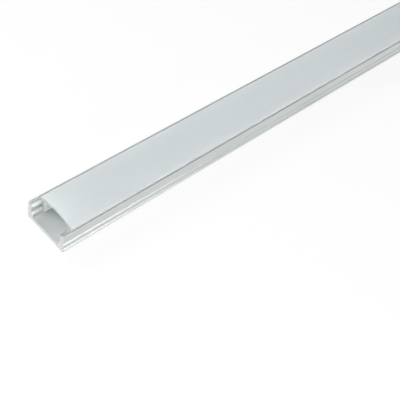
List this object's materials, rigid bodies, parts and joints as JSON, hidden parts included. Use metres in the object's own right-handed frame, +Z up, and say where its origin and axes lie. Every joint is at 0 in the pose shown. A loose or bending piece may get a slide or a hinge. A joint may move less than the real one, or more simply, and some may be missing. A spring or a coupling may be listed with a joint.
{
  "type": "led strip aluminium profile",
  "caption": "Low surface-mounted aluminium channel for an LED strip, with ridged sides and a frosted arched cover that snaps in and slides along it.",
  "frame": {"origin": "middle of the profile's length and width, level with the bottoms of its two feet", "axes": "+X along the profile's length, +Y across it, +Z up from the feet through the open side and the cover"},
  "size_m": [0.25, 0.0176, 0.0093],
  "materials": {
    "satin_aluminium": "satin anodised, fine extrusion lines along its length",
    "frosted_plastic": "frosted opal, satin"
  },
  "bodies": {
    "channel_body": {"channel": "satin_aluminium"},
    "cover_body": {"cover": "frosted_plastic"}
  },
  "joints": [
    {"name": "cover_slide", "type": "slide", "parent": "channel_body", "child": "cover_body", "axis": [1, 0, 0], "range_m": [-0.196, 0.196]}
  ]
}
